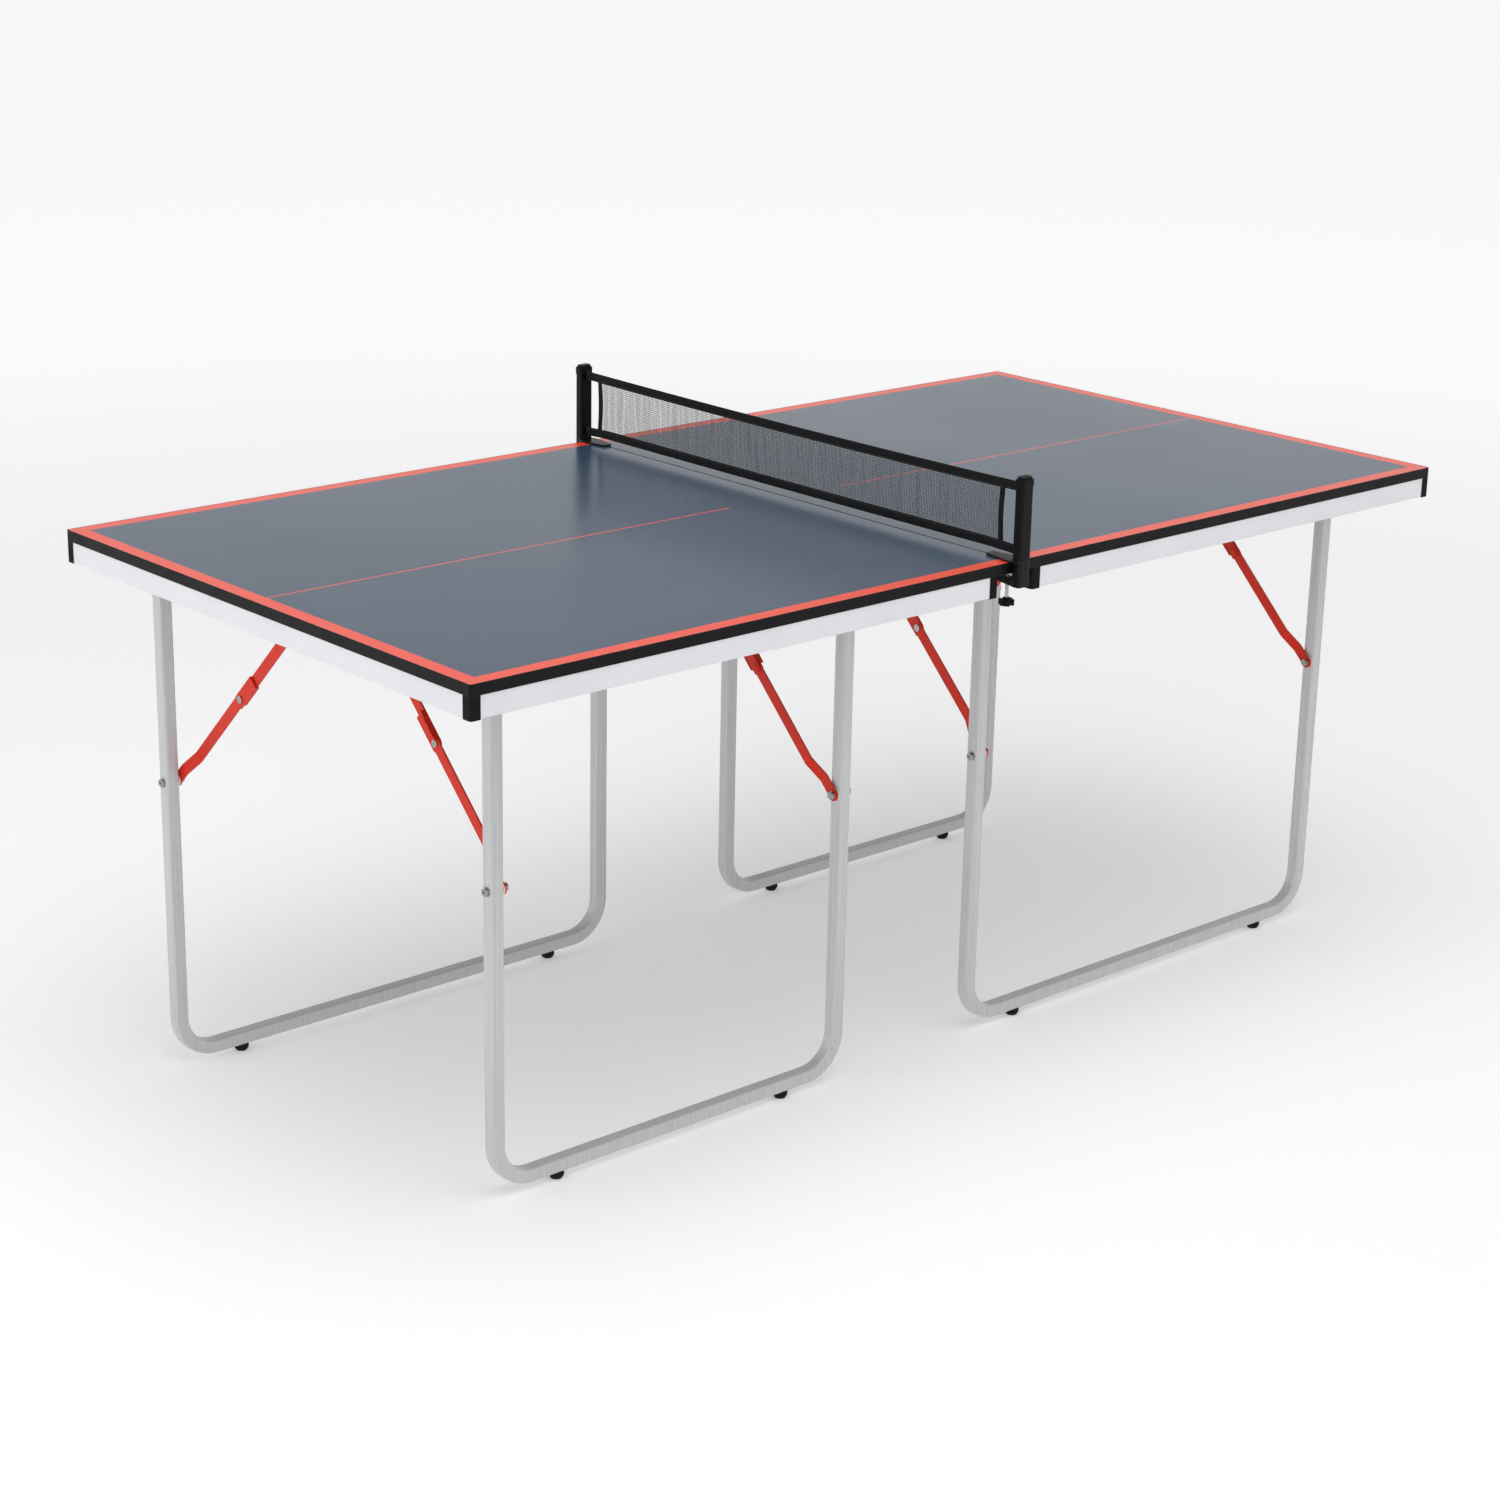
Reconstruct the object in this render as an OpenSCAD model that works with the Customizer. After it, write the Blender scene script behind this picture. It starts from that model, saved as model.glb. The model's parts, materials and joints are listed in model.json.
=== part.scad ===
// Compact ping pong table in two separate halves, each on two folding leg frames,
// with a net that clamps over the joint between the halves.
//
// The floor is Z = 0. The long direction is X and the net stands on X = 0.
// Both halves are the same piece: the right half is the left half turned by 180 degrees.

/* [Table] */

// Overall length of both halves, joint included
table_length = 1820; // [1600:10:2100]
// Overall width
table_width = 914; // [860:2:1000]
// Height of the playing surface
table_height = 760; // [700:5:800]
// Thickness of the playing board
board_thickness = 15; // [12:0.5:19]
// Thickness of the black band glued round the board
band_thickness = 1.4; // [0.8:0.2:3]
// Corner radius of the board with its band
corner_radius = 4; // [2:0.5:8]
// Open joint between the two boards
joint_gap = 1; // [0.6:0.2:4]

/* [Apron frame] */

// Height of the steel rails under the board
rail_height = 29; // [27:0.5:40]
// Depth of a rail, from its face to the edge of its lips
rail_depth = 14; // [12:0.5:20]
// Sheet thickness of the rails
rail_wall = 1.5; // [1:0.1:2.5]
// How far the rails sit behind the board's edge
rail_inset = 1; // [0:0.5:4]
// Distance from the joint to the face of the corner caps beside it
net_side_setback = 33; // [26:1:60]
// Visible width of a corner cap on each face
cap_width = 15; // [12:0.5:25]
// How far a corner cap reaches below the rails
cap_drop = 1; // [0:0.5:4]
// Length of the tongue that a corner cap pushes into each rail
cap_tongue = 22; // [12:1:30]

/* [Leg frames] */

// Side of the square leg tube
tube_size = 20; // [18:0.5:22]
// Corner radius of the leg tube
tube_corner = 3.5; // [2:0.5:6]
// Wall of the leg tube
tube_wall = 1.2; // [0.8:0.1:2]
// Centre-line radius of the two lower bends
bend_radius = 55; // [40:1:80]
// Distance of the leg pivots from the table's long centre line
pivot_offset = 305; // [290:1:320]
// Distance of the leg pivots below the board
pivot_drop = 18; // [17:0.5:20]
// Tube length above the pivot
tube_above_pivot = 9; // [7:0.5:10]
// Distance from the joint to the inner leg of the narrow frame
narrow_near = 167; // [160:1:180]
// Distance from the joint to the outer leg of the narrow frame
narrow_far = 764; // [700:1:768]
// Distance from the joint to the inner leg of the wide frame
wide_near = 99; // [90:1:104]
// Distance from the joint to the outer leg of the wide frame
wide_far = 856; // [830:1:866]
// Distance from a leg to the nearest foot
foot_offset = 100; // [75:1:160]
// Diameter of a rubber foot
foot_diameter = 21; // [16:1:30]
// Height of a rubber foot
foot_height = 10; // [6:1:20]

/* [Pivot fittings] */

// Diameter of the leg pivot bolts
pivot_bolt = 8; // [6:1:10]
// Diameter of the brace bolts
brace_bolt = 6; // [5:1:8]
// Diameter of the brace rivets
brace_rivet = 6; // [5:0.5:7]
// Sheet thickness of the pivot brackets
bracket_wall = 2; // [1.5:0.25:3]
// Length of a leg pivot bracket along the table's width
bracket_length = 44; // [34:1:60]
// Radial clearance of every pivot
pivot_clearance = 0.05; // [0.03:0.01:0.1]

/* [Braces] */

// Distance from the leg pivot down to the brace bolt
brace_drop = 300; // [280:1:320]
// Width of the flat brace bars
bar_width = 16; // [12:0.5:18]
// Thickness of the flat brace bars
bar_thickness = 2.5; // [2:0.25:3.5]
// Diameter of the eye on the brace bolt
eye_diameter = 18; // [16:0.5:22]
// Thickness of the white spacer between leg and brace
spacer_thickness = 2; // [1:0.5:4]
// Sideways step in the lower bar
jog_depth = 10; // [9:0.5:12]
// Distance from the brace bolt to the start of the step
jog_start = 28; // [20:1:60]
// Length of the step along the bar
jog_length = 30; // [15:1:50]
// Length of the lock plate above the knuckle
lock_length = 45; // [30:1:60]
// Thickness of the lock plate's folded flanges
lock_flange = 1.6; // [1:0.2:2.4]
// Depth of the lock plate's lip that faces the leg
lock_lip = 5; // [3:0.5:7]
// Side clearance between two bars that pass each other
side_gap = 0.4; // [0.35:0.05:1]

/* [Net set] */

// Height of the net's upper edge above the board
net_height = 109; // [90:1:160]
// Gap between the board and the net's lower edge
net_lift = 11; // [3:1:20]
// Width of the tapes round the net
tape_width = 13; // [8:0.5:20]
// Thickness of the tapes
tape_thickness = 2; // [1:0.25:3]
// Thickness of the mesh
mesh_thickness = 0.8; // [0.5:0.1:1.5]
// Distance of the side tapes behind the board's edge
side_tape_inset = 30; // [16:1:60]
// Width of a net post along the table
post_width = 22; // [16:1:28]
// Depth of a net post across the table
post_depth = 15; // [12:1:20]
// Wall of a net post
post_wall = 1.5; // [1:0.25:3]
// Height of the posts above the board, without their caps
post_height = 104; // [90:1:160]
// Height of a post cap
post_cap_height = 14; // [8:1:24]
// Length of the upper jaw over the board
jaw_length = 50; // [30:1:70]
// Thickness of the upper jaw
jaw_thickness = 2.5; // [2:0.5:5]
// Length of the lower arm under the board
arm_length = 32; // [26:1:60]
// Thickness of the lower arm at its root
arm_thickness = 8; // [6:0.5:12]
// Thickness of the lower arm at its tip
arm_tip = 5; // [4:0.5:8]
// Open mouth between the lower arm and the board
clamp_mouth = 10; // [9:0.5:14]
// Distance of the clamp screw behind the board's edge
screw_inset = 15; // [13:0.5:30]
// Diameter of the clamp screw
screw_diameter = 5; // [4:0.5:8]
// Free length of the clamp screw between arm and knob
screw_reach = 20; // [12:1:40]
// Diameter of the star knob
knob_diameter = 22; // [18:1:34]
// Height of the star knob
knob_height = 12; // [8:1:20]

/* [Hidden] */

eps = 0.01;
slip = 0.3;
touch = 0.05;
board_bottom = table_height - board_thickness;
half_end = table_length / 2;
half_width = table_width / 2;
half_joint = joint_gap / 2;

rail_bottom = board_bottom - rail_height;
rail_face_y = half_width - rail_inset;
rail_face_end = half_end - rail_inset;
rail_face_net = net_side_setback + rail_inset;
cap_bottom = rail_bottom - cap_drop;
cap_height = rail_height + cap_drop - touch;
cap_lip = 2;
cap_rib = 1;
rib_pitch = 2.6;

pivot_z = board_bottom - pivot_drop;
tube_half = tube_size / 2;
foot_ring_z = foot_height + tube_half;
foot_plug = 3;

// Brace pivots, in the plane of the narrow frame on the near side
bolt_z = pivot_z - brace_drop;
anchor_y = -pivot_offset + brace_drop;
link_length = brace_drop * sqrt(2) / 2;
knuckle_y = -pivot_offset + brace_drop / 2;
knuckle_z = pivot_z - brace_drop / 2;

// Distances from the leg's centre plane, towards the inside of its frame
eye_near = tube_half + spacer_thickness + slip;
eye_far = eye_near + bar_thickness;
nut_near = eye_far + slip;
washer_thickness = 1;
nut_height = 4.5;
thread_end = 0.6;
bolt_flange = 1.2;
bolt_head = 3.6;
cross_depth = 1.8;
lower_near = eye_near + jog_depth;
lower_far = lower_near + bar_thickness;
upper_near = lower_far + side_gap;
upper_far = upper_near + bar_thickness;
ear_near = upper_far + side_gap;
ear_far = ear_near + bracket_wall;
rivet_head = 1.6;
anchor_plate = 24;
anchor_length = 26;

post_gap = 1;
post_y = half_width + post_gap + post_depth / 2;
post_corner = 4;
clamp_gap = 0.4;
jaw_bottom = table_height + clamp_gap;
arm_top = board_bottom - clamp_mouth;
arm_bottom = arm_top - arm_thickness;
screw_y = half_width - screw_inset;
spigot_height = 18;
cap_overhang = 0.8;
pad_height = 3;
pad_diameter = 14;
thread_clearance = 0.08;
knob_top = arm_bottom - screw_reach;
tape_end = post_y - post_depth / 2 - cap_overhang - slip;
net_top = table_height + net_height;
net_bottom = table_height + net_lift;
side_tape_y = half_width - side_tape_inset;

$fn = 48;

// ---------- shared shapes ----------

module rounded_rect(length, width, radius) {
    square([length - 2 * radius, width], center = true);
    square([length, width - 2 * radius], center = true);
    for (sx = [-1, 1], sy = [-1, 1])
        translate([sx * (length / 2 - radius), sy * (width / 2 - radius)])
            circle(r = radius);
}

module x_cylinder(x, length, diameter) {
    translate([x, 0, 0])
        rotate([0, 90, 0])
            cylinder(h = length, d = diameter);
}

module hex_prism(x, length, across) {
    translate([x, 0, 0])
        rotate([0, 90, 0])
            cylinder(h = length, d = across / cos(30), $fn = 6);
}

// Rail section: face on Y = 0, open towards +Y, standing on Z = 0
module rail(length) {
    translate([-length / 2, 0, 0])
        difference() {
            cube([length, rail_depth, rail_height - touch]);
            translate([-eps, rail_wall, rail_wall])
                cube([length + 2 * eps, rail_depth, rail_height - touch - 2 * rail_wall]);
        }
}

module to_right() {
    rotate([0, 0, 180])
        children();
}

// The wide frame stands on the far side of the left half
module far_side() {
    mirror([0, 1, 0])
        children();
}

// ---------- board and apron, left half ----------

board_length = half_end - half_joint;
board_x = -(half_end + half_joint) / 2;

module top_board() {
    inner = band_thickness + touch;
    color([0.20, 0.27, 0.36])
        translate([board_x, 0, board_bottom])
            linear_extrude(board_thickness)
                rounded_rect(board_length - 2 * inner, table_width - 2 * inner,
                             max(corner_radius - inner, 0.5));
}

module edge_band() {
    color([0.03, 0.03, 0.03])
        translate([board_x, 0, board_bottom])
            linear_extrude(board_thickness)
                difference() {
                    rounded_rect(board_length, table_width, corner_radius);
                    rounded_rect(board_length - 2 * band_thickness,
                                 table_width - 2 * band_thickness,
                                 max(corner_radius - band_thickness, 0.5));
                }
}

rail_start = max(cap_width, rail_inset + rail_depth) + touch;
side_rail_length = half_end - net_side_setback - 2 * rail_start;
side_rail_x = -(half_end + net_side_setback) / 2;
cross_rail_length = table_width - 2 * rail_start;

module side_rails() {
    color([0.88, 0.89, 0.90])
        for (far = [0, 1])
            mirror([0, far, 0])
                translate([side_rail_x, -rail_face_y, rail_bottom])
                    rail(side_rail_length);
}

module end_rail() {
    color([0.88, 0.89, 0.90])
        translate([-rail_face_end, 0, rail_bottom])
            rotate([0, 0, -90])
                rail(cross_rail_length);
}

module net_rail() {
    color([0.88, 0.89, 0.90])
        translate([-rail_face_net, 0, rail_bottom])
            rotate([0, 0, 90])
                rail(cross_rail_length);
}

// Corner cap with its outer corner on the origin, body towards +X and +Y
module corner_cap() {
    tongue_height = rail_height - 2 * rail_wall - 1;
    tongue_depth = rail_depth - rail_wall - 1;
    tongue_start = rail_inset + rail_wall + 0.2;
    color([0.05, 0.05, 0.05])
        difference() {
            union() {
                translate([corner_radius, corner_radius, 0])
                    cube([cap_width - corner_radius, cap_width - corner_radius, cap_height]);
                translate([corner_radius, 0, 0])
                    cube([cap_width - corner_radius, corner_radius + eps, cap_height]);
                translate([0, corner_radius, 0])
                    cube([corner_radius + eps, cap_width - corner_radius, cap_height]);
                translate([corner_radius, corner_radius, 0])
                    cylinder(h = cap_height, r = corner_radius);
                translate([cap_width - eps, tongue_start, cap_drop + rail_wall + 0.4])
                    cube([cap_tongue, tongue_depth, tongue_height]);
                translate([tongue_start, cap_width - eps, cap_drop + rail_wall + 0.4])
                    cube([tongue_depth, cap_tongue, tongue_height]);
            }
            for (i = [0:3]) {
                translate([corner_radius + 0.6 + i * rib_pitch, -eps, cap_lip])
                    cube([cap_rib, 0.5, cap_height - 2 * cap_lip]);
                translate([-eps, corner_radius + 0.6 + i * rib_pitch, cap_lip])
                    cube([0.5, cap_rib, cap_height - 2 * cap_lip]);
            }
        }
}

module corner_caps() {
    for (far = [0, 1])
        mirror([0, far, 0]) {
            translate([-half_end, -half_width, cap_bottom])
                corner_cap();
            translate([-net_side_setback, -half_width, cap_bottom])
                mirror([1, 0, 0])
                    corner_cap();
        }
}

// ---------- pivots fixed to the board ----------

// Leg pivot bracket: folded channel with two ears, pivot on the origin
module hinge_bracket() {
    ear_in = tube_half + slip;
    ear_height = pivot_drop + pivot_bolt + 1;
    base_width = 2 * (ear_in + bracket_wall) + 24;
    color([0.72, 0.73, 0.74])
        difference() {
            union() {
                translate([-base_width / 2, -bracket_length / 2, pivot_drop - bracket_wall])
                    cube([base_width, bracket_length, bracket_wall - touch]);
                for (s = [-1, 1])
                    translate([s * (ear_in + bracket_wall / 2) - bracket_wall / 2, -bracket_length / 4,
                               pivot_drop - bracket_wall - ear_height + eps + bracket_wall])
                        cube([bracket_wall, bracket_length / 2, ear_height - bracket_wall]);
            }
            x_cylinder(-base_width, 2 * base_width, pivot_bolt + 2 * pivot_clearance);
            for (sx = [-1, 1], sy = [-1, 1])
                translate([sx * (base_width / 2 - 6), sy * (bracket_length / 2 - 8), 0])
                    cylinder(h = 2 * pivot_drop, d = 4.5);
        }
}

module hinge_bolt() {
    ear_out = tube_half + slip + bracket_wall;
    color([0.70, 0.71, 0.72]) {
        x_cylinder(-ear_out - touch, 2 * ear_out + 6, pivot_bolt);
        hex_prism(-ear_out - touch - 4.5, 4.5 + eps, 13);
        hex_prism(ear_out + touch, 5, 13);
    }
}

// Anchor plate of one brace, pivot on the origin, leg towards -X
module brace_bracket() {
    color([0.72, 0.73, 0.74])
        difference() {
            union() {
                translate([ear_near, -anchor_length / 2, -brace_rivet - 3])
                    cube([bracket_wall, anchor_length, pivot_drop + brace_rivet + 3 - touch]);
                translate([ear_near, -anchor_length / 2, pivot_drop - bracket_wall])
                    cube([anchor_plate, anchor_length, bracket_wall - touch]);
            }
            x_cylinder(ear_near - 1, bracket_wall + 2, brace_rivet + 2 * pivot_clearance);
            for (sy = [-1, 1])
                translate([ear_near + anchor_plate / 2 + 2, sy * (anchor_length / 2 - 6), 0])
                    cylinder(h = 2 * pivot_drop, d = 4.5);
        }
}

module anchor_rivet() {
    color([0.70, 0.71, 0.72]) {
        x_cylinder(upper_near - rivet_head - touch, ear_far - upper_near + 2 * rivet_head + 2 * touch,
                   brace_rivet);
        x_cylinder(upper_near - rivet_head - touch, rivet_head - slip, brace_rivet + 4);
        x_cylinder(ear_far + touch, rivet_head, brace_rivet + 4);
    }
}

// Puts a child on both legs of a frame, its +X side towards the frame's middle
module on_legs(near, far) {
    translate([-far, 0, 0])
        children();
    translate([-near, 0, 0])
        mirror([1, 0, 0])
            children();
}

module at_pivot() {
    translate([0, -pivot_offset, pivot_z])
        children();
}

module at_anchor() {
    translate([0, anchor_y, pivot_z])
        children();
}

module at_bolt() {
    translate([0, -pivot_offset, bolt_z])
        children();
}

// Y runs up along the brace and Z points to the leg pivot's side
module at_knuckle() {
    translate([0, knuckle_y, knuckle_z])
        rotate([45, 0, 0])
            children();
}

module hinge_brackets() {
    on_legs(narrow_near, narrow_far)
        at_pivot()
            hinge_bracket();
    far_side()
        on_legs(wide_near, wide_far)
            at_pivot()
                hinge_bracket();
}

module brace_brackets() {
    on_legs(narrow_near, narrow_far)
        at_anchor()
            brace_bracket();
    far_side()
        on_legs(wide_near, wide_far)
            at_anchor()
                brace_bracket();
}

module pivot_pins() {
    on_legs(narrow_near, narrow_far) {
        at_pivot()
            hinge_bolt();
        at_anchor()
            anchor_rivet();
    }
    far_side()
        on_legs(wide_near, wide_far) {
            at_pivot()
                hinge_bolt();
            at_anchor()
                anchor_rivet();
        }
}

// ---------- leg frames ----------

module tube_section(size, radius) {
    rounded_rect(size, size, radius);
}

// U-shaped path: two legs, two bends and the floor rail
module tube_path(near, far, size, radius, top) {
    leg_length = top - foot_ring_z - bend_radius;
    for (x = [-far, -near])
        translate([x, -pivot_offset, foot_ring_z + bend_radius])
            linear_extrude(leg_length)
                tube_section(size, radius);
    translate([-far + bend_radius, -pivot_offset, foot_ring_z + bend_radius])
        rotate([90, 0, 0])
            rotate([0, 0, 180])
                rotate_extrude(angle = 90)
                    translate([bend_radius, 0])
                        tube_section(size, radius);
    translate([-near - bend_radius, -pivot_offset, foot_ring_z + bend_radius])
        rotate([90, 0, 0])
            rotate([0, 0, 270])
                rotate_extrude(angle = 90)
                    translate([bend_radius, 0])
                        tube_section(size, radius);
    translate([-far + bend_radius, -pivot_offset, foot_ring_z])
        rotate([90, 0, 90])
            linear_extrude(far - near - 2 * bend_radius)
                tube_section(size, radius);
}

module leg_frame(near, far) {
    color([0.80, 0.81, 0.82])
        difference() {
            tube_path(near, far, tube_size, tube_corner, pivot_z + tube_above_pivot);
            tube_path(near, far, tube_size - 2 * tube_wall, max(tube_corner - tube_wall, 0.5),
                      pivot_z + tube_above_pivot + 1);
            for (x = [-far, -near]) {
                translate([x, -pivot_offset, pivot_z])
                    x_cylinder(-tube_size, 2 * tube_size, pivot_bolt + 2 * pivot_clearance);
                translate([x, -pivot_offset, bolt_z])
                    x_cylinder(-tube_size, 2 * tube_size, brace_bolt + 2 * pivot_clearance);
            }
            for (x = [-far + foot_offset, -near - foot_offset])
                translate([x, -pivot_offset, 0])
                    cylinder(h = foot_ring_z, d = 8.2);
        }
}

module feet(near, far) {
    color([0.04, 0.04, 0.04])
        for (x = [-far + foot_offset, -near - foot_offset])
            translate([x, -pivot_offset, 0]) {
                cylinder(h = foot_height * 0.45, d1 = foot_diameter * 0.72, d2 = foot_diameter);
                translate([0, 0, foot_height * 0.45])
                    cylinder(h = foot_height * 0.55 - touch, d = foot_diameter);
                cylinder(h = foot_height + foot_plug, d = 8);
            }
}

module brace_bolt_set() {
    head_x = -tube_half - touch;
    color([0.70, 0.71, 0.72]) {
        x_cylinder(head_x, nut_near + washer_thickness + nut_height + thread_end - head_x, brace_bolt);
        x_cylinder(head_x - bolt_flange, bolt_flange + eps, 13);
        difference() {
            hex_prism(head_x - bolt_flange - bolt_head, bolt_head + eps, 10);
            for (a = [0, 90])
                translate([head_x - bolt_flange - bolt_head - eps, 0, 0])
                    rotate([a, 0, 0])
                        translate([0, -3, -0.6])
                            cube([cross_depth, 6, 1.2]);
        }
        x_cylinder(nut_near, washer_thickness, 12);
        hex_prism(nut_near + washer_thickness - eps, nut_height, 10);
    }
}

module brace_bolts(near, far) {
    on_legs(near, far)
        at_bolt()
            brace_bolt_set();
}

module spacers(near, far) {
    color([0.93, 0.92, 0.90])
        on_legs(near, far)
            at_bolt()
                difference() {
                    x_cylinder(tube_half + touch, spacer_thickness - touch, 18);
                    x_cylinder(tube_half - 1, spacer_thickness + 2, brace_bolt + 0.2);
                }
}

// ---------- braces ----------

module upper_link() {
    difference() {
        union() {
            translate([upper_near, 0, -bar_width / 2])
                cube([bar_thickness, link_length, bar_width]);
            x_cylinder(upper_near, bar_thickness, bar_width);
            x_cylinder(upper_far - eps, rivet_head, brace_rivet + 4);
            translate([0, link_length, 0])
                x_cylinder(upper_near, bar_thickness, bar_width);
        }
        translate([0, link_length, 0])
            x_cylinder(upper_near - 1, bar_thickness + 2, brace_rivet + 2 * pivot_clearance);
    }
}

module upper_links(near, far) {
    color([0.78, 0.16, 0.06])
        on_legs(near, far)
            at_knuckle()
                upper_link();
}

module lower_link(lipped) {
    stop_gap = 0.6;
    stop_z = -bar_width / 2 - stop_gap - lock_flange;
    plate_width = bar_width / 2 + 1 - stop_z;
    tab_length = 12;
    difference() {
        union() {
            linear_extrude(bar_width, center = true)
                polygon([[eye_near, -link_length],
                         [eye_near, -link_length + jog_start],
                         [lower_near, -link_length + jog_start + jog_length],
                         [lower_near, 0],
                         [lower_far, 0],
                         [lower_far, -link_length + jog_start + jog_length - 1],
                         [eye_far, -link_length + jog_start - 1],
                         [eye_far, -link_length]]);
            translate([0, -link_length, 0])
                x_cylinder(eye_near, bar_thickness, eye_diameter);
            translate([lower_near, -bar_width / 2, stop_z])
                cube([bar_thickness, lock_length + bar_width / 2, plate_width]);
            translate([lower_near, 0, stop_z])
                cube([2 * bar_thickness + side_gap + stop_gap, lock_length, lock_flange]);
            if (lipped) {
                translate([lower_near - lock_lip, 0, stop_z + plate_width - lock_flange])
                    cube([lock_lip + eps, lock_length, lock_flange]);
                translate([lower_near - lock_lip, lock_length - tab_length, stop_z + plate_width - eps])
                    cube([lock_lip + bar_thickness, tab_length, lock_flange]);
            }
        }
        translate([0, -link_length, 0])
            x_cylinder(eye_near - 1, bar_thickness + 2, brace_bolt + 2 * pivot_clearance);
        x_cylinder(lower_near - 1, bar_thickness + 2, brace_rivet + 2 * pivot_clearance);
    }
}

module lower_links(near, far, lipped) {
    color([0.82, 0.18, 0.07])
        on_legs(near, far)
            at_knuckle()
                lower_link(lipped);
}

module knuckle_rivets(near, far) {
    color([0.70, 0.71, 0.72])
        on_legs(near, far)
            at_knuckle() {
                x_cylinder(lower_near - touch, bar_thickness, brace_rivet);
                x_cylinder(lower_near - touch - rivet_head, rivet_head + eps, brace_rivet + 5);
            }
}

// ---------- net set ----------

// Lower arm in the Y-Z plane, from the spine's middle to its tip
module clamp_arm() {
    root = -post_y;
    tip = -half_width + arm_length;
    translate([-post_width / 2 + 2, 0, 0])
        rotate([90, 0, 90])
            linear_extrude(post_width - 4)
                polygon([[root, arm_top],
                         [tip, arm_top],
                         [tip, arm_top - arm_tip],
                         [-half_width, arm_bottom],
                         [root, arm_bottom]]);
}

module clamp_jaw() {
    shoulder = post_width / 2 + 3;
    translate([0, -half_width, jaw_bottom])
        linear_extrude(jaw_thickness)
            polygon([[-post_width / 2, -post_gap - post_depth / 2],
                     [post_width / 2, -post_gap - post_depth / 2],
                     [shoulder, 2],
                     [shoulder, 12],
                     [7, jaw_length],
                     [-7, jaw_length],
                     [-shoulder, 12],
                     [-shoulder, 2]]);
}

module clamp_bracket() {
    spine_top = jaw_bottom + jaw_thickness;
    color([0.05, 0.05, 0.05])
        difference() {
            union() {
                translate([0, -post_y, arm_bottom])
                    linear_extrude(spine_top - arm_bottom)
                        rounded_rect(post_width, post_depth, post_corner);
                translate([0, -post_y, spine_top - eps])
                    linear_extrude(spigot_height)
                        rounded_rect(post_width - 2 * post_wall - 2 * touch,
                                     post_depth - 2 * post_wall - 2 * touch, post_corner - post_wall);
                clamp_arm();
                clamp_jaw();
            }
            translate([0, -screw_y, arm_bottom - 1])
                cylinder(h = arm_thickness + 2, d = screw_diameter + 2 * thread_clearance);
        }
}

module net_post() {
    base = jaw_bottom + jaw_thickness + touch;
    color([0.05, 0.05, 0.05])
        translate([0, -post_y, base])
            linear_extrude(table_height + post_height - base)
                difference() {
                    rounded_rect(post_width, post_depth, post_corner);
                    rounded_rect(post_width - 2 * post_wall, post_depth - 2 * post_wall,
                                 post_corner - post_wall);
                }
}

module post_cap() {
    color([0.06, 0.06, 0.06])
        translate([0, -post_y, table_height + post_height]) {
            translate([0, 0, touch])
                linear_extrude(post_cap_height * 0.75)
                    rounded_rect(post_width + 2 * cap_overhang, post_depth + 2 * cap_overhang,
                                 post_corner + 0.5);
            translate([0, 0, post_cap_height * 0.75])
                linear_extrude(post_cap_height * 0.25)
                    rounded_rect(post_width - 3, post_depth - 3, 3);
            translate([0, 0, -12])
                linear_extrude(13)
                    rounded_rect(post_width - 2 * post_wall - 2 * touch,
                                 post_depth - 2 * post_wall - 2 * touch, post_corner - post_wall);
        }
}

module net_tapes() {
    color([0.03, 0.03, 0.03]) {
        for (z = [net_bottom, net_top - tape_width])
            translate([-tape_thickness / 2, -tape_end, z])
                cube([tape_thickness, 2 * tape_end, tape_width]);
        for (s = [-1, 1])
            translate([-tape_thickness / 2, s * side_tape_y - tape_width / 2, net_bottom + eps])
                cube([tape_thickness, tape_width, net_height - net_lift - 2 * eps]);
    }
}

module net_mesh() {
    inner_half = side_tape_y - tape_width / 2 - touch;
    color([0.12, 0.12, 0.12])
        translate([-mesh_thickness / 2, -inner_half, net_bottom + tape_width + touch])
            cube([mesh_thickness, 2 * inner_half,
                  net_height - net_lift - 2 * tape_width - 2 * touch]);
}

module clamp_screw() {
    color([0.62, 0.60, 0.52])
        translate([0, -screw_y, knob_top - knob_height / 2])
            cylinder(h = board_bottom - pad_height - clamp_gap - touch - knob_top + knob_height / 2,
                     d = screw_diameter);
}

module clamp_knob() {
    lobe = knob_diameter * 0.24;
    dome = 1.5;
    collar = 2.5;
    color([0.05, 0.05, 0.05])
        translate([0, -screw_y, knob_top - knob_height])
            difference() {
                union() {
                    cylinder(h = dome + eps, d1 = knob_diameter * 0.3, d2 = knob_diameter * 0.44);
                    translate([0, 0, dome])
                        cylinder(h = knob_height - dome - collar, d = knob_diameter * 0.64);
                    cylinder(h = knob_height, d = screw_diameter + 5);
                    for (i = [0:5])
                        rotate([0, 0, i * 60])
                            translate([knob_diameter / 2 - lobe / 2, 0, dome])
                                cylinder(h = knob_height - dome - collar, d = lobe);
                }
                translate([0, 0, knob_height / 2])
                    cylinder(h = knob_height, d = screw_diameter + 2 * touch);
            }
}

module clamp_pad() {
    color([0.08, 0.08, 0.08])
        translate([0, -screw_y, board_bottom - clamp_gap - pad_height])
            cylinder(h = pad_height, d = pad_diameter);
}

// ---------- nodes ----------

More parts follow.
